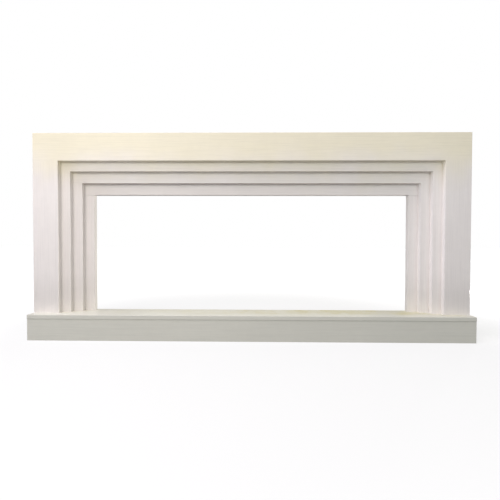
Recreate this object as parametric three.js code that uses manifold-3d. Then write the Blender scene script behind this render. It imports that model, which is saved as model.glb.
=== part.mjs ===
// Stepped fireplace surround on a boxed hearth, made of painted boards.
// Millimetres, +Z up, +X to the right along the width, the front faces -Y.
// The origin is on the floor, in the middle of the footprint.

import * as THREE from 'three';
import { mergeVertices } from 'three/addons/utils/BufferGeometryUtils.js';
import Module from 'manifold-3d';

// Surround: four frames of the same boards, each set further in and one board further back.
// The steps are the faces that show inside the outer frame, the outermost first.
const OPENING_WIDTH = 1490;
const OPENING_HEIGHT = 550;
const BOARD = 25;
const JAMB_BOARD_WIDTH = 116;
const HEAD_BOARD_HEIGHT = 126;
const JAMB_STEPS = [42, 44, 45];
const HEAD_STEPS = [43, 50, 52];
const FRAME_NAMES = ['outer', 'first_step', 'second_step', 'third_step'];

// Hearth: a slab on a box with no bottom. Both run a little past the surround's ends,
// and the slab oversails in front.
const HEARTH_BOARD = 18;
const HEARTH_HEIGHT = 115;
const HEARTH_PROJECTION = 45;
const HEARTH_MARGIN = 3;
const SLAB_LIP = 2;

// Radius that the open edges are sanded to, and how far a cut runs clear of the board.
const EASED_EDGE = 1.5;
const ARC_STEPS = 3;
const CUT_MARGIN = 2;

// Sizes that follow from the ones above.
const sum = (values) => values.reduce((total, value) => total + value, 0);
const FRAME_HALF_WIDTH = OPENING_WIDTH / 2 + sum(JAMB_STEPS) + JAMB_BOARD_WIDTH;
const HEARTH_HALF_WIDTH = FRAME_HALF_WIDTH + HEARTH_MARGIN;
const DEPTH = HEARTH_PROJECTION + FRAME_NAMES.length * BOARD;
const FRONT = -DEPTH / 2;
const BACK = DEPTH / 2;
const SURROUND_FRONT = FRONT + HEARTH_PROJECTION;
const TOP = HEARTH_HEIGHT + OPENING_HEIGHT + sum(HEAD_STEPS) + HEAD_BOARD_HEIGHT;
const SLAB_UNDERSIDE = HEARTH_HEIGHT - HEARTH_BOARD;

const surroundPaint = new THREE.MeshStandardMaterial({ color: 0xf1ebe1, roughness: 0.5, metalness: 0 });
const hearthPaint = new THREE.MeshStandardMaterial({ color: 0xdeddd1, roughness: 0.4, metalness: 0 });

const wasm = await Module();
wasm.setup();

// A closed geometry as a solid that can be cut.
function toSolid(geometry) {
  const bare = geometry.clone();
  bare.deleteAttribute('normal');
  bare.deleteAttribute('uv');
  const merged = mergeVertices(bare);
  const vertProperties = new Float32Array(merged.attributes.position.array);
  const triVerts = new Uint32Array(merged.index.array);
  return new wasm.Manifold(new wasm.Mesh({ numProp: 3, vertProperties, triVerts }));
}

function toGeometry(solid) {
  const { vertProperties, triVerts } = solid.getMesh();
  const geometry = new THREE.BufferGeometry();
  geometry.setAttribute('position', new THREE.BufferAttribute(vertProperties, 3));
  geometry.setIndex(new THREE.BufferAttribute(triVerts, 1));
  geometry.computeVertexNormals();
  return geometry;
}

// What is sanded off a square edge. The edge is at the origin, and the board lies where x and y are negative.
function easingSection() {
  const section = new THREE.Shape();
  section.moveTo(0, -EASED_EDGE);
  section.absarc(-EASED_EDGE, -EASED_EDGE, EASED_EDGE, 0, Math.PI / 2, false);
  section.lineTo(-EASED_EDGE, CUT_MARGIN);
  section.lineTo(CUT_MARGIN, CUT_MARGIN);
  section.lineTo(CUT_MARGIN, -EASED_EDGE);
  section.closePath();
  return section;
}

// Unit vectors of a section's own axes and of its run, for an edge along each axis of the board.
const X = new THREE.Vector3(1, 0, 0);
const Y = new THREE.Vector3(0, 1, 0);
const Z = new THREE.Vector3(0, 0, 1);
const EDGE_AXES = {
  x: { across: ['y', 'z'], basis: [Y, Z, X] },
  y: { across: ['z', 'x'], basis: [Z, X, Y] },
  z: { across: ['x', 'y'], basis: [X, Y, Z] },
};

// Quarter turns that bring the section to each of the four edges along one axis.
const QUARTER_TURNS = { 'max max': 0, 'min max': 1, 'min min': 2, 'max min': 3 };

// An edge runs along one axis, at the board's min or max on the other two axes. It is eased from end to end,
// or only between the two places in span.
function easingCut(box, edge) {
  const { across, basis } = EDGE_AXES[edge.along];
  const [first, second] = across;
  const ends = [box.min[edge.along] - CUT_MARGIN, box.max[edge.along] + CUT_MARGIN];
  const [from, to] = edge.span ?? ends;
  const cut = new THREE.ExtrudeGeometry(easingSection(), {
    depth: to - from,
    curveSegments: ARC_STEPS,
    bevelEnabled: false,
  });
  cut.rotateZ(QUARTER_TURNS[`${edge[first]} ${edge[second]}`] * Math.PI / 2);
  cut.applyMatrix4(new THREE.Matrix4().makeBasis(...basis));
  const corner = new THREE.Vector3();
  corner[edge.along] = from;
  corner[first] = box[edge[first]][first];
  corner[second] = box[edge[second]][second];
  return cut.translate(corner.x, corner.y, corner.z);
}

// A board between two corners, with its open edges eased.
function board(name, material, low, high, openEdges = []) {
  const box = new THREE.Box3(new THREE.Vector3(...low), new THREE.Vector3(...high));
  const size = box.getSize(new THREE.Vector3());
  const centre = box.getCenter(new THREE.Vector3());
  const block = new THREE.BoxGeometry(size.x, size.y, size.z).translate(centre.x, centre.y, centre.z);
  const cuts = openEdges.map((edge) => toSolid(easingCut(box, edge)));
  const solid = cuts.reduce((rest, cut) => rest.subtract(cut), toSolid(block));
  const mesh = new THREE.Mesh(toGeometry(solid), material);
  mesh.name = name;
  return mesh;
}

// The side of a board that faces the left or the right end of the surround.
const SIDES = [
  { name: 'left', sign: -1, outer: 'min', inner: 'max' },
  { name: 'right', sign: 1, outer: 'max', inner: 'min' },
];

// Low and high corners of a board whose x places are given for the right side.
function mirrored(sign, innerX, outerX, lowYZ, highYZ) {
  const places = [sign * innerX, sign * outerX].sort((a, b) => a - b);
  return [[places[0], ...lowYZ], [places[1], ...highYZ]];
}

// One frame: a head across the tops of two jambs. Only the outer frame shows its outer edges.
function frame(level) {
  const name = FRAME_NAMES[level];
  const outermost = level === 0;
  const outerX = FRAME_HALF_WIDTH - sum(JAMB_STEPS.slice(0, level));
  const innerX = outerX - JAMB_BOARD_WIDTH;
  const headTop = TOP - sum(HEAD_STEPS.slice(0, level));
  const soffit = headTop - HEAD_BOARD_HEIGHT;
  const front = SURROUND_FRONT + level * BOARD;
  const back = front + BOARD;

  const headEdges = [{ along: 'x', y: 'min', z: 'min', span: [-innerX, innerX] }];
  if (outermost) {
    headEdges.push({ along: 'x', y: 'min', z: 'max' });
    headEdges.push({ along: 'z', x: 'min', y: 'min' });
    headEdges.push({ along: 'z', x: 'max', y: 'min' });
    headEdges.push({ along: 'y', z: 'max', x: 'min' });
    headEdges.push({ along: 'y', z: 'max', x: 'max' });
  }
  const headLow = [-outerX, front, soffit];
  const headHigh = [outerX, back, headTop];
  const head = board(`${name}_head`, surroundPaint, headLow, headHigh, headEdges);

  const jambs = SIDES.map((side) => {
    const edges = [{ along: 'z', x: side.inner, y: 'min' }];
    if (outermost) {
      edges.push({ along: 'z', x: side.outer, y: 'min' });
    }
    const corners = mirrored(side.sign, innerX, outerX, [front, HEARTH_HEIGHT], [back, soffit]);
    return board(`${name}_jamb_${side.name}`, surroundPaint, ...corners, edges);
  });
  return [head, ...jambs];
}

// Boards that close the surround's top and sides back to the wall, behind the outer frame.
function casing() {
  const front = SURROUND_FRONT + BOARD;
  const topUnderside = TOP - BOARD;
  const topEdges = SIDES.map((side) => ({ along: 'y', z: 'max', x: side.outer }));
  const topLow = [-FRAME_HALF_WIDTH, front, topUnderside];
  const topHigh = [FRAME_HALF_WIDTH, BACK, TOP];
  const topBoard = board('top_board', surroundPaint, topLow, topHigh, topEdges);
  const cheekInner = FRAME_HALF_WIDTH - BOARD;
  const cheeks = SIDES.map((side) => {
    const lowYZ = [front, HEARTH_HEIGHT];
    const highYZ = [BACK, topUnderside];
    const corners = mirrored(side.sign, cheekInner, FRAME_HALF_WIDTH, lowYZ, highYZ);
    return board(`cheek_${side.name}`, surroundPaint, ...corners);
  });
  return [topBoard, ...cheeks];
}

// The slab on its box. The front riser runs past the ends, and the back rail stands between them.
function hearth() {
  const slabEdges = [
    { along: 'x', y: 'min', z: 'max' },
    { along: 'x', y: 'min', z: 'min' },
  ];
  for (const side of SIDES) {
    slabEdges.push({ along: 'y', z: 'max', x: side.outer });
    slabEdges.push({ along: 'y', z: 'min', x: side.outer });
    slabEdges.push({ along: 'z', x: side.outer, y: 'min' });
  }
  const slabLow = [-HEARTH_HALF_WIDTH, FRONT, SLAB_UNDERSIDE];
  const slabHigh = [HEARTH_HALF_WIDTH, BACK, HEARTH_HEIGHT];
  const slab = board('hearth_slab', hearthPaint, slabLow, slabHigh, slabEdges);

  const riserFront = FRONT + SLAB_LIP;
  const riserBack = riserFront + HEARTH_BOARD;
  const riserEdges = SIDES.map((side) => ({ along: 'z', x: side.outer, y: 'min' }));
  const riserLow = [-HEARTH_HALF_WIDTH, riserFront, 0];
  const riserHigh = [HEARTH_HALF_WIDTH, riserBack, SLAB_UNDERSIDE];
  const riser = board('hearth_front_riser', hearthPaint, riserLow, riserHigh, riserEdges);

  const endInner = HEARTH_HALF_WIDTH - HEARTH_BOARD;
  const ends = SIDES.map((side) => {
    const highYZ = [BACK, SLAB_UNDERSIDE];
    const corners = mirrored(side.sign, endInner, HEARTH_HALF_WIDTH, [riserBack, 0], highYZ);
    return board(`hearth_end_${side.name}`, hearthPaint, ...corners);
  });
  const railLow = [-endInner, BACK - HEARTH_BOARD, 0];
  const railHigh = [endInner, BACK, SLAB_UNDERSIDE];
  const rail = board('hearth_back_rail', hearthPaint, railLow, railHigh);
  return [slab, riser, ...ends, rail];
}

const mantelpiece = new THREE.Group();
mantelpiece.add(...hearth());
FRAME_NAMES.forEach((name, level) => mantelpiece.add(...frame(level)));
mantelpiece.add(...casing());

export default mantelpiece;
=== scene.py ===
"""Stepped fireplace surround on a boxed hearth, in ivory paint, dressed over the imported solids."""

import math

import bpy
from bpy.props import FloatProperty, FloatVectorProperty, PointerProperty
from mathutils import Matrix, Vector


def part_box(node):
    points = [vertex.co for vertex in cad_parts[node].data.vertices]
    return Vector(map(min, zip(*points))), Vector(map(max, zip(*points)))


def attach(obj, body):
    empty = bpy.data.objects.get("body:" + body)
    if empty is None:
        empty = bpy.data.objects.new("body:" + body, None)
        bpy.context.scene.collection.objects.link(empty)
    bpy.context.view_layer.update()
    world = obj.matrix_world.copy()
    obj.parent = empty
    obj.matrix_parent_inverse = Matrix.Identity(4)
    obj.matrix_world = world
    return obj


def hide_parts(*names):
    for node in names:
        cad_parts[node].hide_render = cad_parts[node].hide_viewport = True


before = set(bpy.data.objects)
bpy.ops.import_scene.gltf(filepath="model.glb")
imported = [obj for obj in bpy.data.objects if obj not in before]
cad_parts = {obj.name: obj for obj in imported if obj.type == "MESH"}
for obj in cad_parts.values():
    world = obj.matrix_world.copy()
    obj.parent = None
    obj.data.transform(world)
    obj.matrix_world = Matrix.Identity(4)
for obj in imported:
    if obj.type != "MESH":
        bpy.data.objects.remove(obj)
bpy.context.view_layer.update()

bl_info = {
    "name": "Stepped fireplace surround",
    "version": (1, 0, 0),
    "blender": (4, 5, 0),
    "location": "View3D > Sidebar > Mantel",
    "description": "Builds a painted board surround with a boxed hearth over its packed solids",
    "category": "Add Mesh",
}

BODY = "root"
SURROUND_SLOT = "surround_paint"
HEARTH_SLOT = "hearth_paint"
SIDES = ("left", "right")
STEP_NAMES = ("first_step", "second_step", "third_step")
RUN_X = (1.0, 0.0, 0.0)
RUN_Y = (0.0, 1.0, 0.0)
RUN_Z = (0.0, 0.0, 1.0)

# Loops that round each sanded edge, on either side of the middle of its arc.
EDGE_LOOPS = 3
# Farther than any board reaches, so an edge that stops there is sanded along its whole length.
NO_STOP = 10.0
# Waves in the hand-sanded radius, per metre.
SANDING_WAVES = 14.0
# Sets the paint pattern of one board apart from the next.
PATTERN_STEP = 3.7
WHITE = (1.0, 1.0, 1.0, 1.0)
# How white the floor glows beside the object, and between which distances it clears to full white.
FLOOR_LIFT = 0.72
FLOOR_SHADE_REACH = (0.9, 2.4)
FLOOR_HALF_SIZE = 30.0
SENSOR_WIDTH = 36.0
# A face squarer to an axis than this is flat.
FLAT_SQUARENESS = 0.9999


class MantelBoards(bpy.types.PropertyGroup):
    """How the boards are sanded, joined and meshed."""

    sanded_radius: FloatProperty(
        name="Sanded radius",
        description="Largest radius that the open edges are sanded to",
        default=0.0015,
        min=0.0002,
        max=0.004,
        precision=4,
        unit="LENGTH",
    )
    sanding_wander: FloatProperty(
        name="Sanding wander",
        description="Share of the radius that hand sanding leaves uneven along an edge",
        default=0.2,
        min=0.0,
        max=0.9,
        subtype="FACTOR",
    )
    joint_gap: FloatProperty(
        name="Open joint",
        description="Width of the crack above the jambs of the innermost step",
        default=0.0006,
        min=0.0,
        max=0.002,
        precision=4,
        unit="LENGTH",
    )
    mesh_cell: FloatProperty(
        name="Mesh cell",
        description="Longest side of a face on the flat of a board",
        default=0.012,
        min=0.005,
        max=0.1,
        unit="LENGTH",
    )


class MantelPaint(bpy.types.PropertyGroup):
    """Colours and relief of the paint."""

    ivory: FloatVectorProperty(
        name="Ivory",
        description="Eggshell paint on the surround",
        default=(0.908, 0.863, 0.828),
        min=0.0,
        max=1.0,
        size=3,
        subtype="COLOR",
    )
    # The hearth's ivory is the surround's paint darkened and greyed: painted shade.
    shaded_hearth_ivory: FloatVectorProperty(
        name="Shaded hearth ivory",
        description="Satin paint on the hearth",
        default=(0.731, 0.726, 0.645),
        min=0.0,
        max=1.0,
        size=3,
        subtype="COLOR",
    )
    # Tint of the highest paint: ageing, and painted warm light on the top.
    yellowing_and_warm_tint: FloatVectorProperty(
        name="Yellowing and warm tint",
        description="Share of each colour that the most yellowed paint keeps",
        default=(1.0, 0.985, 0.80),
        min=0.0,
        max=1.0,
        size=3,
        subtype="COLOR",
    )
    board_tan: FloatVectorProperty(
        name="Board",
        description="Bare fibreboard that shows through a thin coat",
        default=(0.42, 0.27, 0.15),
        min=0.0,
        max=1.0,
        size=3,
        subtype="COLOR",
    )
    primer: FloatVectorProperty(
        name="Primer",
        description="Single coat on the sides that face the wall",
        default=(0.74, 0.69, 0.60),
        min=0.0,
        max=1.0,
        size=3,
        subtype="COLOR",
    )
    # Colour of the dust; where more of it lies, away from the front and the left end, it is also painted
    # shade.
    dust_and_shade: FloatVectorProperty(
        name="Dust and Shade",
        description="Dust on the faces that look up",
        default=(0.60, 0.55, 0.28),
        min=0.0,
        max=1.0,
        size=3,
        subtype="COLOR",
    )
    # Tint of the foot: soil, and painted shade above the hearth.
    soil_and_shade: FloatVectorProperty(
        name="Soil and Shade",
        description="Share of each colour that the most soiled paint keeps",
        default=(0.70, 0.70, 0.68),
        min=0.0,
        max=1.0,
        size=3,
        subtype="COLOR",
    )
    relief: FloatProperty(
        name="Paint relief",
        description="Height of the brush marks and of the roller's stipple",
        default=0.00009,
        min=0.0,
        max=0.001,
        precision=5,
        unit="LENGTH",
    )


class MantelStage(bpy.types.PropertyGroup):
    """Camera, lights and floor."""

    lens: FloatProperty(
        name="Lens",
        description="Focal length on a sensor 36 mm wide",
        default=24.12,
        min=10.0,
        max=200.0,
        unit="CAMERA",
    )
    camera_place: FloatVectorProperty(
        name="Camera place",
        description="Where the camera stands",
        default=(0.0219, -1.546, 0.4333),
        size=3,
        subtype="XYZ",
        unit="LENGTH",
    )
    camera_down: FloatProperty(
        name="Camera down",
        description="How far the camera looks down",
        default=0.01786,
        subtype="ANGLE",
    )
    camera_left: FloatProperty(
        name="Camera left",
        description="How far the camera looks to the left",
        default=0.01437,
        subtype="ANGLE",
    )
    camera_roll: FloatProperty(
        name="Camera roll",
        description="How far the camera is turned about its line of sight",
        default=-0.00267,
        subtype="ANGLE",
    )
    floor_tone: FloatVectorProperty(
        name="Floor",
        description="Colour that the floor throws back onto the object",
        default=(0.23, 0.23, 0.23),
        min=0.0,
        max=1.0,
        size=3,
        subtype="COLOR",
    )
    room_light: FloatProperty(
        name="Room light",
        description="Strength of the even light from all around",
        default=0.24,
        min=0.0,
        max=5.0,
    )
    key_power: FloatProperty(
        name="Key light",
        description="Power of the near light at the front, to the left",
        default=13.9,
        min=0.0,
        unit="POWER",
    )
    near_power: FloatProperty(
        name="Near light",
        description="Power of the small light close to the left jamb",
        default=0.22,
        min=0.0,
        unit="POWER",
    )
    ceiling_power: FloatProperty(
        name="Ceiling light",
        description="Power of the broad light overhead",
        default=33.0,
        min=0.0,
        unit="POWER",
    )
    high_power: FloatProperty(
        name="High light",
        description="Power of the light high on the left",
        default=92.0,
        min=0.0,
        unit="POWER",
    )
    side_power: FloatProperty(
        name="Side light",
        description="Power of the cool light that grazes from the left",
        default=55.0,
        min=0.0,
        unit="POWER",
    )
    fill_power: FloatProperty(
        name="Fill light",
        description="Power of the near light at the front, to the right",
        default=13.2,
        min=0.0,
        unit="POWER",
    )
    back_power: FloatProperty(
        name="Back light",
        description="Power of the wide light behind the surround",
        default=12.0,
        min=0.0,
        unit="POWER",
    )
    low_power: FloatProperty(
        name="Low light",
        description="Power of the light near the floor behind, which reaches the edges of the opening",
        default=55.0,
        min=0.0,
        unit="POWER",
    )


def feed(tree, socket, source):
    """Links a socket to another socket, or gives it a plain value."""
    if isinstance(source, bpy.types.NodeSocket):
        tree.links.new(source, socket)
    else:
        socket.default_value = source


def add_node(tree, kind, inputs=None, **settings):
    """Adds a node, makes its settings and feeds its inputs, which are given by name or by number."""
    node = tree.nodes.new(kind)
    for name, value in settings.items():
        setattr(node, name, value)
    for key, source in (inputs or {}).items():
        feed(tree, node.inputs[key], source)
    return node


def number(tree, operation, *operands, clamp=False):
    """Result of a Math node."""
    inputs = dict(enumerate(operands))
    return add_node(tree, "ShaderNodeMath", inputs, operation=operation, use_clamp=clamp).outputs[0]


def vector(tree, operation, *operands):
    """Vector result of a Vector Math node."""
    inputs = dict(enumerate(operands))
    return add_node(tree, "ShaderNodeVectorMath", inputs, operation=operation).outputs["Vector"]


def measure(tree, operation, *operands):
    """Number that a Vector Math node gives, such as a length or a dot product."""
    inputs = dict(enumerate(operands))
    return add_node(tree, "ShaderNodeVectorMath", inputs, operation=operation).outputs["Value"]


def scaled(tree, source, factor):
    """A vector times a number."""
    node = add_node(tree, "ShaderNodeVectorMath", {0: source, "Scale": factor}, operation="SCALE")
    return node.outputs["Vector"]


def split(tree, source):
    """The three parts of a vector."""
    return add_node(tree, "ShaderNodeSeparateXYZ", {0: source}).outputs


def joined(tree, x, y, z):
    """A vector from its three parts."""
    return add_node(tree, "ShaderNodeCombineXYZ", {"X": x, "Y": y, "Z": z}).outputs["Vector"]


def spread(tree, source, from_low, from_high, to_low, to_high):
    """Maps each part of a vector from one range to another, and holds it inside the second one."""
    inputs = {6: source, 7: from_low, 8: from_high, 9: to_low, 10: to_high}
    node = add_node(tree, "ShaderNodeMapRange", inputs, data_type="FLOAT_VECTOR", clamp=True)
    return node.outputs["Vector"]


def ramp(tree, source, from_low, from_high, to_low=0.0, to_high=1.0):
    """Maps a number smoothly from one range to another."""
    inputs = {0: source, 1: from_low, 2: from_high, 3: to_low, 4: to_high}
    node = add_node(tree, "ShaderNodeMapRange", inputs, interpolation_type="SMOOTHSTEP", clamp=True)
    return node.outputs["Result"]


def noise(tree, place, scale, detail=2.0, roughness=0.5):
    """Noise from 0 to 1 at a place."""
    inputs = {"Vector": place, "Scale": scale, "Detail": detail, "Roughness": roughness}
    return add_node(tree, "ShaderNodeTexNoise", inputs, noise_dimensions="3D").outputs[0]


def blend_colour(tree, share, first, second, blend="MIX"):
    """Mixes or multiplies two colours by a share."""
    node = add_node(tree, "ShaderNodeMix", data_type="RGBA", blend_type=blend, clamp_factor=True)
    feed(tree, node.inputs[0], share)
    feed(tree, node.inputs[6], first)
    feed(tree, node.inputs[7], second)
    return node.outputs[2]


def new_group(name, kind, inputs, outputs):
    """An empty node group with named sockets, the sockets of its input node and its output node."""
    tree = bpy.data.node_groups.new(name, kind)
    for socket_name, socket_kind in inputs:
        tree.interface.new_socket(socket_name, in_out="INPUT", socket_type=socket_kind)
    for socket_name, socket_kind in outputs:
        tree.interface.new_socket(socket_name, in_out="OUTPUT", socket_type=socket_kind)
    given = tree.nodes.new("NodeGroupInput").outputs
    result = tree.nodes.new("NodeGroupOutput")
    return tree, given, result


# The boards' shape

BOARD_INPUTS = (
    ("Low", "NodeSocketVector"),
    ("High", "NodeSocketVector"),
    ("Ease Low", "NodeSocketVector"),
    ("Ease High", "NodeSocketVector"),
    ("Stop", "NodeSocketFloat"),
    ("Radius", "NodeSocketFloat"),
    ("Wander", "NodeSocketFloat"),
    ("Cell", "NodeSocketFloat"),
    ("Run", "NodeSocketVector"),
    ("Pattern", "NodeSocketFloat"),
    ("Paint", "NodeSocketMaterial"),
)


def meshed_block(tree, given):
    """A block between the two corners, with close loops beside its edges and even cells between them."""
    size = vector(tree, "SUBTRACT", given["High"], given["Low"])
    cells = vector(tree, "CEIL", vector(tree, "DIVIDE", size, joined(tree, *[given["Cell"]] * 3)))
    steps = vector(tree, "ADD", cells, (2.0 * EDGE_LOOPS,) * 3)
    counts = split(tree, vector(tree, "ADD", steps, (1.0,) * 3))
    cube = add_node(tree, "GeometryNodeMeshCube", {"Size": (1.0, 1.0, 1.0)})
    for axis, count in zip("XYZ", counts):
        whole = add_node(tree, "FunctionNodeFloatToInt", {0: count}, rounding_mode="ROUND")
        feed(tree, cube.inputs[f"Vertices {axis}"], whole.outputs[0])

    share = vector(tree, "ADD", add_node(tree, "GeometryNodeInputPosition").outputs[0], (0.5,) * 3)
    near_share = vector(tree, "DIVIDE", (float(EDGE_LOOPS),) * 3, steps)
    far_share = vector(tree, "SUBTRACT", (1.0,) * 3, near_share)
    edge = joined(tree, *[given["Radius"]] * 3)
    flat = vector(tree, "SUBTRACT", size, scaled(tree, edge, 2.0))
    none = (0.0,) * 3
    near = spread(tree, share, none, near_share, none, edge)
    middle = spread(tree, share, near_share, far_share, none, flat)
    far = spread(tree, share, far_share, (1.0,) * 3, none, edge)
    offset = vector(tree, "ADD", vector(tree, "ADD", near, middle), far)
    place = vector(tree, "ADD", given["Low"], offset)
    inputs = {"Geometry": cube.outputs["Mesh"], "Position": place}
    return add_node(tree, "GeometryNodeSetPosition", inputs).outputs[0]


def kept_attribute(tree, mesh, name, kind, value):
    """Keeps a value on every point of the mesh, for the paint to read."""
    inputs = {"Geometry": mesh, "Name": name, "Value": value}
    node = add_node(tree, "GeometryNodeStoreNamedAttribute", inputs, data_type=kind, domain="POINT")
    return node.outputs["Geometry"]


def sanded(tree, given, mesh):
    """Rounds the edges between faces that are both eased, by pulling points onto arcs about a core."""
    place = add_node(tree, "GeometryNodeInputPosition").outputs[0]
    apart = vector(tree, "ADD", place, joined(tree, *[given["Pattern"]] * 3))
    uneven = number(tree, "MULTIPLY", noise(tree, apart, SANDING_WAVES), given["Wander"])
    radius = number(tree, "MULTIPLY", given["Radius"], number(tree, "SUBTRACT", 1.0, uneven))

    along = number(tree, "ABSOLUTE", split(tree, place)["X"])
    before_stop = number(tree, "LESS_THAN", along, given["Stop"])
    low_x, low_y, low_z = split(tree, given["Ease Low"])
    ease_low = joined(tree, low_x, low_y, number(tree, "MULTIPLY", low_z, before_stop))
    core_low = vector(tree, "ADD", given["Low"], scaled(tree, ease_low, radius))
    core_high = vector(tree, "SUBTRACT", given["High"], scaled(tree, given["Ease High"], radius))
    core = vector(tree, "MAXIMUM", vector(tree, "MINIMUM", place, core_high), core_low)
    reach = vector(tree, "SUBTRACT", place, core)
    share = number(tree, "DIVIDE", measure(tree, "LENGTH", reach), radius)

    # The share is 1 on a flat face and the square root of 2 on the line of a square edge.
    arris = ramp(tree, share, 1.0, math.sqrt(2.0))
    mesh = kept_attribute(tree, mesh, "arris", "FLOAT", arris)
    pull = number(tree, "DIVIDE", 1.0, number(tree, "MAXIMUM", share, 1.0))
    eased = vector(tree, "ADD", core, scaled(tree, reach, pull))
    return add_node(tree, "GeometryNodeSetPosition", {"Geometry": mesh, "Position": eased}).outputs[0]


def stroke_place(tree, given):
    """A point's place with its first part along the board's run, moved on by the board's pattern number."""
    place = add_node(tree, "GeometryNodeInputPosition").outputs[0]
    x, y, z = split(tree, given["Run"])
    second = joined(tree, z, x, y)
    third = joined(tree, y, z, x)
    axes = (given["Run"], second, third)
    turned = joined(tree, *[measure(tree, "DOT_PRODUCT", place, axis) for axis in axes])
    return vector(tree, "ADD", turned, joined(tree, *[given["Pattern"]] * 3))


def eased_board_tree():
    """Geometry nodes for one board: a block with its open edges sanded round and its strokes marked out."""
    outputs = [("Board", "NodeSocketGeometry")]
    tree, given, result = new_group("Eased board", "GeometryNodeTree", BOARD_INPUTS, outputs)
    tree.is_modifier = True
    mesh = sanded(tree, given, meshed_block(tree, given))
    mesh = kept_attribute(tree, mesh, "stroke", "FLOAT_VECTOR", stroke_place(tree, given))

    # Faces of an arc lie square to no axis. They are shaded smooth, and the flats stay flat.
    facing = vector(tree, "ABSOLUTE", add_node(tree, "GeometryNodeInputNormal").outputs[0])
    x, y, z = split(tree, facing)
    squareness = number(tree, "MAXIMUM", number(tree, "MAXIMUM", x, y), z)
    curved = number(tree, "LESS_THAN", squareness, FLAT_SQUARENESS)
    smooth = add_node(tree, "GeometryNodeSetShadeSmooth", domain="FACE")
    feed(tree, smooth.inputs["Geometry"], mesh)
    feed(tree, smooth.inputs["Shade Smooth"], curved)
    whole = add_node(tree, "GeometryNodeRealizeInstances", {"Geometry": smooth.outputs[0]}).outputs[0]
    inputs = {"Geometry": whole, "Material": given["Paint"]}
    painted = add_node(tree, "GeometryNodeSetMaterial", inputs).outputs[0]
    feed(tree, result.inputs["Board"], painted)
    return tree


def board_tree():
    """The boards' tree, made on its first use."""
    return bpy.data.node_groups.get("Eased board") or eased_board_tree()


def node_mesh(piece, tree, values):
    """Runs a tree on an empty piece and leaves the result as its plain mesh."""
    modifier = piece.modifiers.new(tree.name, "NODES")
    modifier.node_group = tree
    for item in tree.interface.items_tree:
        if item.in_out == "INPUT":
            modifier[item.identifier] = values[item.name]
    evaluated = piece.evaluated_get(bpy.context.evaluated_depsgraph_get())
    mesh = bpy.data.meshes.new_from_object(evaluated)
    piece.modifiers.remove(modifier)
    bare = piece.data
    piece.data = mesh
    bpy.data.meshes.remove(bare)
    mesh.name = piece.name
    if not mesh.polygons:
        raise RuntimeError(f"{piece.name} came out empty")


def painted_board(node, paint, slot, run, ease_low, ease_high, stop=NO_STOP, lowered=0.0):
    """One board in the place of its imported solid, with its top lowered by an open joint."""
    settings = bpy.context.scene.mantel_boards
    low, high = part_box(node)
    high.z -= lowered
    name = f"{node}_painted"
    piece = bpy.data.objects.new(name, bpy.data.meshes.new(name))
    bpy.context.scene.collection.objects.link(piece)
    values = {
        "Low": low,
        "High": high,
        "Ease Low": ease_low,
        "Ease High": ease_high,
        "Stop": stop,
        "Radius": settings.sanded_radius,
        "Wander": settings.sanding_wander,
        "Cell": settings.mesh_cell,
        "Run": run,
        "Pattern": PATTERN_STEP * sorted(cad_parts).index(node),
        "Paint": paint,
    }
    node_mesh(piece, board_tree(), values)
    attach(piece, BODY)
    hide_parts(node)
    return piece


def frame_boards(name, outer_edges, lowered=0.0):
    """The head and the two jambs of one frame. The outer frame shows its outer edges as well."""
    paint = surround_paint()
    open_side = float(outer_edges)
    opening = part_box(f"{name}_jamb_right")[0].x
    head_low = (open_side, 1.0, 1.0)
    head_high = (open_side, 0.0, open_side)
    painted_board(f"{name}_head", paint, SURROUND_SLOT, RUN_X, head_low, head_high, stop=opening)
    for side in SIDES:
        low_x = 1.0 if side == "right" else open_side
        high_x = 1.0 if side == "left" else open_side
        eases = ((low_x, 1.0, 0.0), (high_x, 0.0, 0.0))
        painted_board(f"{name}_jamb_{side}", paint, SURROUND_SLOT, RUN_Z, *eases, lowered=lowered)


# The paint

# Streaks and swipes are drawn out by shrinking their place along the board.
STREAK_STRETCH = 0.035
SWIPE_STRETCH = 0.3
# Noise patterns per metre.
STIPPLE_PER_METRE = 520.0
PATCHES_PER_METRE = 5.0
RUBS_PER_METRE = 22.0
DUST_CLOUDS_PER_METRE = 9.0
DUST_SPECKS_PER_METRE = 900.0
YELLOWING_CLOUDS_PER_METRE = 4.0
SOIL_AND_SHADE_CLOUDS_PER_METRE = 12.0
SWIPES_PER_METRE = 16.0
# How many close patches of tone go to one broad one, and their share of the mottle.
CLOSE_PATCHES = 6.0
CLOSE_SHARE = 0.4
# Ranges of noise over which each effect comes in.
MOTTLE_RANGE = (0.3, 0.7)
RUB_RANGE = (0.45, 0.7)
SPECK_RANGE = (0.62, 0.72)
FILM_RANGE = (0.35, 0.75)
BARE_RANGE = (0.45, 0.8)
STREAK_RANGE = (0.4, 0.75)
GLOSS_RANGE = (0.2, 0.8)
# How squarely a face must look up or back to count as doing so.
FACING_RANGE = (0.6, 0.95)
# Dust: the thinnest film, the share of specks, and how much of the layer is kept at the front and at the
# left end, which makes these lighter as painted light.
THINNEST_FILM = 0.25
SPECK_SHARE = 0.35
FRONT_LIT_RANGE = (-0.05, 0.0)
FRONT_DUST_AND_SHADE = 0.25
LEFT_LIT_RANGE = (-0.6, 0.4)
LEFT_DUST_AND_SHADE = 0.2
# Heights between which the paint yellows, partly as painted warm light on the top, and between which the
# soil and painted shade on the feet clear.
YELLOWING_AND_WARM_LIGHT_HEIGHTS = (0.68, 0.90)
SOIL_AND_SHADE_HEIGHTS = (0.18, 0.32)
# How far the noise moves those heights up and down.
YELLOWING_DRIFT = 0.25
SOIL_AND_SHADE_DRIFT = 0.08
# Strength of each effect in the colour.
STIPPLE_SHARE = 0.35
MOTTLE_SHARE = 0.8
SHADED_COAT = 0.955
STREAK_SHARE = 0.45
STREAK_COAT = 0.88
THIN_SHARE = 0.3
BARE_SHARE = 0.35
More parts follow.
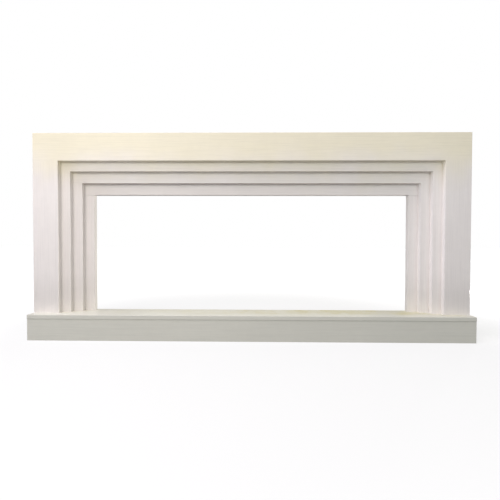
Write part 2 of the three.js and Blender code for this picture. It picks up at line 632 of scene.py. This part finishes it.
# How far the roughness falls and rises about its middle, and what dust and the single coat add to it.
GLOSS_FALL = 0.05
GLOSS_RISE = 0.07
DUST_ROUGHNESS = 0.2
BACK_ROUGHNESS = 0.25


def effect_group(name, inputs, outputs, build):
    """A shader group that is made on its first use."""
    tree = bpy.data.node_groups.get(name)
    if tree is None:
        tree, given, result = new_group(name, "ShaderNodeTree", inputs, outputs)
        for output, source in build(tree, given).items():
            feed(tree, result.inputs[output], source)
    return tree


def brush_marks():
    """Streaks of the brush along a board, and the fine stipple of the roller under them."""

    def build(tree, given):
        along, across, deep = split(tree, given["Stroke"])
        streak_place = joined(tree, number(tree, "MULTIPLY", along, STREAK_STRETCH), across, deep)
        streaks = noise(tree, streak_place, given["Streaks per Metre"], detail=3.0, roughness=0.6)
        stipple = noise(tree, given["Stroke"], given["Stipple per Metre"], detail=1.0)
        height = number(tree, "MULTIPLY_ADD", stipple, given["Stipple Share"], streaks)
        return {"Height": height, "Streaks": streaks}

    inputs = (
        ("Stroke", "NodeSocketVector"),
        ("Streaks per Metre", "NodeSocketFloat"),
        ("Stipple per Metre", "NodeSocketFloat"),
        ("Stipple Share", "NodeSocketFloat"),
    )
    outputs = (("Height", "NodeSocketFloat"), ("Streaks", "NodeSocketFloat"))
    return effect_group("Brush marks", inputs, outputs, build)


def coat_mottle():
    """Slow changes of tone where the coat is a little thicker or thinner."""

    def build(tree, given):
        broad = noise(tree, given["Place"], given["Patches per Metre"], detail=2.0)
        close_scale = number(tree, "MULTIPLY", given["Patches per Metre"], CLOSE_PATCHES)
        close = noise(tree, given["Place"], close_scale)
        broad_part = number(tree, "MULTIPLY", broad, 1.0 - CLOSE_SHARE)
        mixed = number(tree, "MULTIPLY_ADD", close, CLOSE_SHARE, broad_part)
        return {"Mottle": ramp(tree, mixed, *MOTTLE_RANGE)}

    inputs = (("Place", "NodeSocketVector"), ("Patches per Metre", "NodeSocketFloat"))
    return effect_group("Coat mottle", inputs, (("Mottle", "NodeSocketFloat"),), build)


def thin_edges():
    """Where the paint is rubbed thin along a sanded edge."""

    def build(tree, given):
        worn = noise(tree, given["Place"], given["Rubs per Metre"], detail=4.0, roughness=0.65)
        patches = ramp(tree, worn, *RUB_RANGE)
        return {"Thin": number(tree, "MULTIPLY", given["Arris"], patches, clamp=True)}

    inputs = (
        ("Arris", "NodeSocketFloat"),
        ("Place", "NodeSocketVector"),
        ("Rubs per Metre", "NodeSocketFloat"),
    )
    return effect_group("Thin edges", inputs, (("Thin", "NodeSocketFloat"),), build)


def settled_dust_and_shade():
    """Dust on the faces that look up, thinner along the front and towards the left end: that thinning is
    painted light, where the light falls from the front and the left.
    """

    def build(tree, given):
        upward = ramp(tree, split(tree, given["Facing"])["Z"], *FACING_RANGE)
        cloud = noise(tree, given["Place"], DUST_CLOUDS_PER_METRE, detail=5.0, roughness=0.65)
        grains = noise(tree, given["Place"], DUST_SPECKS_PER_METRE, detail=1.0)
        specks = ramp(tree, grains, *SPECK_RANGE)
        film = ramp(tree, cloud, *FILM_RANGE, THINNEST_FILM, 1.0)
        place = split(tree, given["Place"])
        # Less dust at the front and the left end: painted light, lighter where the light falls.
        front_share = ramp(tree, place["Y"], *FRONT_LIT_RANGE, FRONT_DUST_AND_SHADE, 1.0)
        left_share = ramp(tree, place["X"], *LEFT_LIT_RANGE, LEFT_DUST_AND_SHADE, 1.0)
        painted_shade_share = number(tree, "MULTIPLY", front_share, left_share)
        settled = number(tree, "MULTIPLY_ADD", specks, SPECK_SHARE, film)
        layer = number(tree, "MULTIPLY", settled, painted_shade_share)
        return {"Dust and Shade": number(tree, "MULTIPLY", upward, layer, clamp=True)}

    inputs = (("Facing", "NodeSocketVector"), ("Place", "NodeSocketVector"))
    return effect_group("Settled dust and shade", inputs, (("Dust and Shade", "NodeSocketFloat"),), build)


def yellowing_and_warm_light():
    """How far the coat has yellowed, which grows with height: ageing, and painted warm light falling on the
    top.
    """

    def build(tree, given):
        height = split(tree, given["Place"])["Z"]
        cloud = noise(tree, given["Place"], YELLOWING_CLOUDS_PER_METRE, detail=3.0)
        drift = number(tree, "SUBTRACT", cloud, 0.5)
        lifted = number(tree, "MULTIPLY_ADD", drift, YELLOWING_DRIFT, height)
        return {"Yellowed and Warm Lit": ramp(tree, lifted, given["From Height"], given["To Height"])}

    inputs = (
        ("Place", "NodeSocketVector"),
        ("From Height", "NodeSocketFloat"),
        ("To Height", "NodeSocketFloat"),
    )
    return effect_group("Yellowing and warm light", inputs, (("Yellowed and Warm Lit", "NodeSocketFloat"),), build)


def foot_soil_and_shade():
    """Darkening on the foot of the surround, just above the hearth: soil, and painted shade where the jambs
    meet the hearth.
    """

    def build(tree, given):
        height = split(tree, given["Place"])["Z"]
        cloud = noise(tree, given["Place"], SOIL_AND_SHADE_CLOUDS_PER_METRE, detail=4.0, roughness=0.6)
        drift = number(tree, "SUBTRACT", cloud, 0.5)
        lifted = number(tree, "MULTIPLY_ADD", drift, SOIL_AND_SHADE_DRIFT, height)
        return {"Soil and Shade": ramp(tree, lifted, given["Full Height"], given["Clear Height"], 1.0, 0.0)}

    inputs = (
        ("Place", "NodeSocketVector"),
        ("Full Height", "NodeSocketFloat"),
        ("Clear Height", "NodeSocketFloat"),
    )
    return effect_group("Foot soil and shade", inputs, (("Soil and Shade", "NodeSocketFloat"),), build)


def wall_side():
    """The sides that face the wall, and how much of the board shows through their single coat."""

    def build(tree, given):
        backward = ramp(tree, split(tree, given["Facing"])["Y"], *FACING_RANGE)
        along, across, deep = split(tree, given["Stroke"])
        swipe = joined(tree, number(tree, "MULTIPLY", along, SWIPE_STRETCH), across, deep)
        coverage = noise(tree, swipe, SWIPES_PER_METRE, detail=4.0, roughness=0.55)
        bare = ramp(tree, coverage, *BARE_RANGE)
        return {"Back": backward, "Bare": number(tree, "MULTIPLY", bare, backward)}

    inputs = (("Facing", "NodeSocketVector"), ("Stroke", "NodeSocketVector"))
    outputs = (("Back", "NodeSocketFloat"), ("Bare", "NodeSocketFloat"))
    return effect_group("Wall side", inputs, outputs, build)


def placed_group(tree, group, inputs):
    """A node that runs a shader group."""
    node = tree.nodes.new("ShaderNodeGroup")
    node.node_tree = group
    for key, source in inputs.items():
        feed(tree, node.inputs[key], source)
    return node.outputs


def paint_material(name, colour, gloss_roughness, streaks_per_metre, dust_and_shade_share, soil_and_shade_share):
    """Ivory paint on fibreboard, with brush marks, thin edges, soil and painted shade at the foot, dust and
    painted light on the tops, yellowing and painted warm light high up, and a single coat behind.
    """
    material = bpy.data.materials.get(name)
    if material:
        return material
    settings = bpy.context.scene.mantel_paint
    material = bpy.data.materials.new(name)
    material.use_nodes = True
    tree = material.node_tree
    shader = tree.nodes["Principled BSDF"]
    place = add_node(tree, "ShaderNodeTexCoord").outputs["Object"]
    facing = add_node(tree, "ShaderNodeNewGeometry").outputs["True Normal"]
    stroke = add_node(tree, "ShaderNodeAttribute", attribute_name="stroke").outputs["Vector"]
    arris = add_node(tree, "ShaderNodeAttribute", attribute_name="arris").outputs["Fac"]

    marks = placed_group(tree, brush_marks(), {
        "Stroke": stroke,
        "Streaks per Metre": streaks_per_metre,
        "Stipple per Metre": STIPPLE_PER_METRE,
        "Stipple Share": STIPPLE_SHARE,
    })
    patches = {"Place": place, "Patches per Metre": PATCHES_PER_METRE}
    mottle = placed_group(tree, coat_mottle(), patches)["Mottle"]
    rubs = {"Arris": arris, "Place": place, "Rubs per Metre": RUBS_PER_METRE}
    thin = placed_group(tree, thin_edges(), rubs)["Thin"]
    dust_and_shade = placed_group(tree, settled_dust_and_shade(), {"Facing": facing, "Place": place})["Dust and Shade"]
    back = placed_group(tree, wall_side(), {"Facing": facing, "Stroke": stroke})

    coat = Vector(colour)
    full_coat = (*coat, 1.0)
    shaded_coat = (*(coat * SHADED_COAT), 1.0)
    board = (*settings.board_tan, 1.0)
    base = blend_colour(tree, number(tree, "MULTIPLY", mottle, MOTTLE_SHARE), full_coat, shaded_coat)
    streaked = ramp(tree, marks["Streaks"], *STREAK_RANGE)
    streak_tone = number(tree, "MULTIPLY", streaked, STREAK_SHARE)
    base = blend_colour(tree, streak_tone, base, (*(coat * STREAK_COAT), 1.0))
    # Yellower and darker high up: ageing, and painted warm light.
    yellowing_inputs = {"Place": place, "From Height": YELLOWING_AND_WARM_LIGHT_HEIGHTS[0], "To Height": YELLOWING_AND_WARM_LIGHT_HEIGHTS[1]}
    yellowed_and_warm_lit = placed_group(tree, yellowing_and_warm_light(), yellowing_inputs)["Yellowed and Warm Lit"]
    base = blend_colour(tree, yellowed_and_warm_lit, base, (*settings.yellowing_and_warm_tint, 1.0), "MULTIPLY")
    # Darker at the foot above the hearth: soil, and painted shade.
    soil_and_shade_inputs = {"Place": place, "Full Height": SOIL_AND_SHADE_HEIGHTS[0], "Clear Height": SOIL_AND_SHADE_HEIGHTS[1]}
    soil_and_shade = placed_group(tree, foot_soil_and_shade(), soil_and_shade_inputs)["Soil and Shade"]
    soil_and_shade_amount = number(tree, "MULTIPLY", soil_and_shade, soil_and_shade_share)
    base = blend_colour(tree, soil_and_shade_amount, base, (*settings.soil_and_shade, 1.0), "MULTIPLY")
    base = blend_colour(tree, number(tree, "MULTIPLY", thin, THIN_SHARE), base, board)
    # Dust on the tops, kept thin at the front and the left as painted light.
    base = blend_colour(tree, number(tree, "MULTIPLY", dust_and_shade, dust_and_shade_share), base, (*settings.dust_and_shade, 1.0))
    base = blend_colour(tree, back["Back"], base, (*settings.primer, 1.0))
    base = blend_colour(tree, number(tree, "MULTIPLY", back["Bare"], BARE_SHARE), base, board)
    feed(tree, shader.inputs["Base Color"], base)

    smoothest = gloss_roughness - GLOSS_FALL
    roughest = gloss_roughness + GLOSS_RISE
    rough = ramp(tree, marks["Streaks"], *GLOSS_RANGE, smoothest, roughest)
    rough = number(tree, "MULTIPLY_ADD", dust_and_shade, DUST_ROUGHNESS * dust_and_shade_share, rough)
    rough = number(tree, "MULTIPLY_ADD", back["Back"], BACK_ROUGHNESS, rough, clamp=True)
    feed(tree, shader.inputs["Roughness"], rough)

    bump = add_node(tree, "ShaderNodeBump", {"Strength": 1.0, "Distance": settings.relief})
    feed(tree, bump.inputs["Height"], marks["Height"])
    feed(tree, shader.inputs["Normal"], bump.outputs["Normal"])
    return material


def surround_paint():
    """Eggshell on the surround."""
    colour = bpy.context.scene.mantel_paint.ivory
    return paint_material(
        "Ivory eggshell",
        colour,
        gloss_roughness=0.5,
        streaks_per_metre=190.0,
        dust_and_shade_share=0.35,
        soil_and_shade_share=0.3,
    )


def hearth_paint():
    """Satin on the hearth, in the surround's ivory darkened and greyed as painted shade."""
    # A darker copy of the surround's ivory, as painted shade.
    colour = bpy.context.scene.mantel_paint.shaded_hearth_ivory
    return paint_material(
        "Ivory satin",
        colour,
        gloss_roughness=0.4,
        streaks_per_metre=150.0,
        dust_and_shade_share=0.8,
        soil_and_shade_share=0.0,
    )


# The stage

def area_light(name, place, aim, size, power, tint):
    """A square soft light that looks at a point."""
    data = bpy.data.lights.new(name, "AREA")
    data.shape = "SQUARE"
    data.size = size
    data.energy = power
    data.color = tint
    light = bpy.data.objects.new(name, data)
    light.location = place
    light.rotation_mode = "QUATERNION"
    light.rotation_quaternion = (Vector(aim) - Vector(place)).to_track_quat("-Z", "Y")
    bpy.context.scene.collection.objects.link(light)
    return light


def studio_lights():
    """Soft lights at the front, overhead and on the left, a fill on the right and two lights behind."""
    settings = bpy.context.scene.mantel_stage
    middle = (0.0, 0.0, 0.5)
    area_light("key", (-0.95, -1.8, 1.25), middle, 0.8, settings.key_power, (1.0, 0.96, 0.91))
    area_light("near", (-0.95, -0.6, 0.8), (-0.95, 0.0, 0.7), 0.3, settings.near_power, (1.0, 0.90, 0.85))
    area_light("ceiling", (-0.8, -1.6, 3.2), middle, 3.5, settings.ceiling_power, (1.0, 0.88, 0.91))
    area_light("high", (-1.56, -1.09, 4.58), middle, 1.8, settings.high_power, (0.94, 0.91, 1.0))
    area_light("side", (-4.41, -0.78, 0.89), middle, 1.8, settings.side_power, (0.69, 0.80, 1.0))
    area_light("fill", (1.5, -2.2, 1.2), middle, 1.2, settings.fill_power, (0.92, 0.98, 1.0))
    area_light("back", (0.0, 2.0, 1.1), (0.0, 0.0, 0.4), 2.6, settings.back_power, (1.0, 1.0, 0.80))
    area_light("low", (2.4, 1.6, 0.15), (-0.5, 0.0, 0.4), 0.25, settings.low_power, (1.0, 0.97, 0.92))


def floor_material():
    """A pale floor that the camera sees lighter than it lights the object, and that is clear from below."""
    settings = bpy.context.scene.mantel_stage
    material = bpy.data.materials.new("Pale floor")
    material.use_nodes = True
    tree = material.node_tree
    tree.nodes.clear()
    tone = (*settings.floor_tone, 1.0)
    matt = add_node(tree, "ShaderNodeBsdfDiffuse", {"Color": tone}).outputs[0]
    place = add_node(tree, "ShaderNodeTexCoord").outputs["Object"]
    away = measure(tree, "LENGTH", place)
    lift = ramp(tree, away, FLOOR_SHADE_REACH[0], FLOOR_SHADE_REACH[1], FLOOR_LIFT, 1.0)
    glow = add_node(tree, "ShaderNodeEmission", {"Color": WHITE, "Strength": lift}).outputs[0]
    lifted = add_node(tree, "ShaderNodeAddShader", {0: matt, 1: glow}).outputs[0]
    seen = add_node(tree, "ShaderNodeLightPath").outputs["Is Camera Ray"]
    top = add_node(tree, "ShaderNodeMixShader", {0: seen, 1: matt, 2: lifted}).outputs[0]
    behind = add_node(tree, "ShaderNodeNewGeometry").outputs["Backfacing"]
    clear = add_node(tree, "ShaderNodeBsdfTransparent").outputs[0]
    both = add_node(tree, "ShaderNodeMixShader", {0: behind, 1: top, 2: clear}).outputs[0]
    output = add_node(tree, "ShaderNodeOutputMaterial")
    feed(tree, output.inputs["Surface"], both)
    return material


def pale_floor():
    """A wide floor under the hearth."""
    half = FLOOR_HALF_SIZE
    mesh = bpy.data.meshes.new("floor")
    corners = [(-half, -half, 0.0), (half, -half, 0.0), (half, half, 0.0), (-half, half, 0.0)]
    mesh.from_pydata(corners, [], [(0, 1, 2, 3)])
    mesh.materials.append(floor_material())
    floor = bpy.data.objects.new("floor", mesh)
    bpy.context.scene.collection.objects.link(floor)


def room():
    """Even light from all around, with a white backdrop for the camera."""
    settings = bpy.context.scene.mantel_stage
    world = bpy.data.worlds.new("Studio")
    world.use_nodes = True
    tree = world.node_tree
    tree.nodes.clear()
    glow = {"Color": WHITE, "Strength": settings.room_light}
    soft = add_node(tree, "ShaderNodeBackground", glow).outputs[0]
    backdrop = add_node(tree, "ShaderNodeBackground", {"Color": WHITE, "Strength": 1.0}).outputs[0]
    seen = add_node(tree, "ShaderNodeLightPath").outputs["Is Camera Ray"]
    both = add_node(tree, "ShaderNodeMixShader", {0: seen, 1: soft, 2: backdrop}).outputs[0]
    output = add_node(tree, "ShaderNodeOutputWorld")
    feed(tree, output.inputs["Surface"], both)
    bpy.context.scene.world = world


def camera():
    """The camera at the photograph's place."""
    settings = bpy.context.scene.mantel_stage
    data = bpy.data.cameras.new("camera")
    data.lens = settings.lens
    data.sensor_width = SENSOR_WIDTH
    view = bpy.data.objects.new("camera", data)
    view.location = settings.camera_place
    level = math.pi / 2
    view.rotation_euler = (level - settings.camera_down, settings.camera_roll, settings.camera_left)
    bpy.context.scene.collection.objects.link(view)
    bpy.context.scene.camera = view


class MANTEL_OT_outer_frame(bpy.types.Operator):
    """Make the flat outer frame, a head across two jambs"""

    bl_idname = "mantel.outer_frame"
    bl_label = "Outer frame"

    def execute(self, context):
        frame_boards("outer", outer_edges=True)
        return {"FINISHED"}


class MANTEL_OT_step_frames(bpy.types.Operator):
    """Make the three frames that step back towards the opening"""

    bl_idname = "mantel.step_frames"
    bl_label = "Step frames"

    def execute(self, context):
        gap = context.scene.mantel_boards.joint_gap
        for name in STEP_NAMES:
            frame_boards(name, outer_edges=False, lowered=gap if name == STEP_NAMES[-1] else 0.0)
        return {"FINISHED"}


class MANTEL_OT_casing(bpy.types.Operator):
    """Make the boards that close the top and the sides behind the outer frame"""

    bl_idname = "mantel.casing"
    bl_label = "Top board and cheeks"

    def execute(self, context):
        paint = surround_paint()
        painted_board("top_board", paint, SURROUND_SLOT, RUN_X, (1.0, 0.0, 0.0), (1.0, 1.0, 1.0))
        for side in SIDES:
            low_x = float(side == "left")
            high_x = float(side == "right")
            eases = ((low_x, 0.0, 0.0), (high_x, 1.0, 0.0))
            painted_board(f"cheek_{side}", paint, SURROUND_SLOT, RUN_Z, *eases)
        return {"FINISHED"}


class MANTEL_OT_hearth(bpy.types.Operator):
    """Make the hearth, a slab on a box with no bottom"""

    bl_idname = "mantel.hearth"
    bl_label = "Hearth"

    def execute(self, context):
        paint = hearth_paint()
        painted_board("hearth_slab", paint, HEARTH_SLOT, RUN_X, (1.0, 1.0, 1.0), (1.0, 0.0, 1.0))
        painted_board("hearth_front_riser", paint, HEARTH_SLOT, RUN_X, (1.0, 1.0, 0.0), (1.0, 0.0, 0.0))
        painted_board("hearth_back_rail", paint, HEARTH_SLOT, RUN_X, (0.0, 0.0, 1.0), (0.0, 1.0, 0.0))
        for side in SIDES:
            low_x = float(side == "left")
            high_x = float(side == "right")
            eases = ((low_x, 0.0, 0.0), (high_x, 1.0, 0.0))
            painted_board(f"hearth_end_{side}", paint, HEARTH_SLOT, RUN_Y, *eases)
        return {"FINISHED"}


class MANTEL_OT_stage(bpy.types.Operator):
    """Make the floor, the lights and the camera"""

    bl_idname = "mantel.stage"
    bl_label = "Stage"

    def execute(self, context):
        pale_floor()
        room()
        studio_lights()
        camera()
        context.scene.view_settings.view_transform = "Standard"
        return {"FINISHED"}


class MANTEL_PT_panel(bpy.types.Panel):
    """Sizes, colours and the pieces to make"""

    bl_idname = "MANTEL_PT_panel"
    bl_label = "Fireplace surround"
    bl_space_type = "VIEW_3D"
    bl_region_type = "UI"
    bl_category = "Mantel"

    def draw(self, context):
        layout = self.layout
        for name in SETTINGS:
            settings = getattr(context.scene, name)
            for field in settings.__annotations__:
                layout.prop(settings, field)
        for operator in OPERATORS:
            layout.operator(operator.bl_idname)


SETTINGS = {"mantel_boards": MantelBoards, "mantel_paint": MantelPaint, "mantel_stage": MantelStage}
OPERATORS = (
    MANTEL_OT_outer_frame,
    MANTEL_OT_step_frames,
    MANTEL_OT_casing,
    MANTEL_OT_hearth,
    MANTEL_OT_stage,
)
CLASSES = (*SETTINGS.values(), *OPERATORS, MANTEL_PT_panel)


def register():
    """Registers the classes and hangs their settings on the scene."""
    for cls in CLASSES:
        bpy.utils.register_class(cls)
    for name, cls in SETTINGS.items():
        setattr(bpy.types.Scene, name, PointerProperty(type=cls))


def unregister():
    """Takes the settings and the classes away again."""
    for name in SETTINGS:
        delattr(bpy.types.Scene, name)
    for cls in reversed(CLASSES):
        bpy.utils.unregister_class(cls)


def main():
    """Makes every piece and the stage."""
    register()
    bpy.ops.mantel.outer_frame()
    bpy.ops.mantel.step_frames()
    bpy.ops.mantel.casing()
    bpy.ops.mantel.hearth()
    bpy.ops.mantel.stage()


if __name__ == "__main__":
    main()
